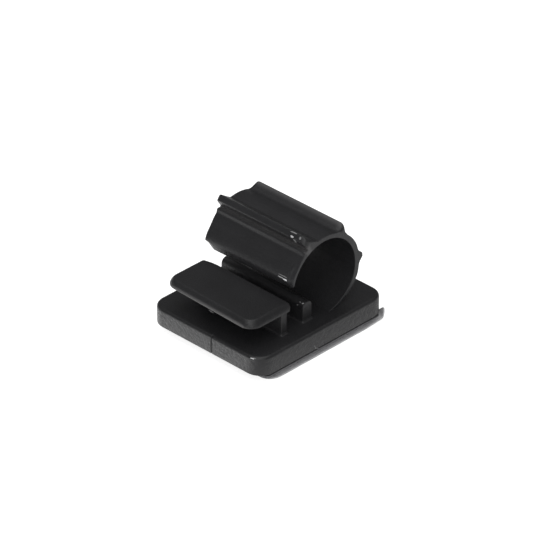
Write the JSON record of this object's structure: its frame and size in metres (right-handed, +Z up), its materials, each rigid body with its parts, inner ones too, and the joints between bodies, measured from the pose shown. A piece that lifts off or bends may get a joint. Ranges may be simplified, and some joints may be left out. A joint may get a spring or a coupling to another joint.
{
  "type": "cable holder",
  "caption": "Self-adhesive releasable cable holder: a square base plate with a sprung, ribbed C-shaped arm over the cable seat, an inner lip and a latch leg with a release tongue.",
  "frame": {"origin": "on the underside of the release liner, which is the face that goes against the mounting surface, under the middle of the base plate", "axes": "+Z up out of the mounting surface, +X from the release tongue to the root of the sprung arm, Y along the cable"},
  "size_m": [0.0177, 0.0152, 0.0124],
  "materials": {
    "black_nylon": "satin moulded nylon",
    "black_foam": "matt closed-cell foam tape",
    "liner_paper": "smooth siliconised paper"
  },
  "bodies": {
    "root": {"clip_body": "black_nylon", "foam_pad": "black_foam", "release_liner": "liner_paper"}
  },
  "joints": []
}
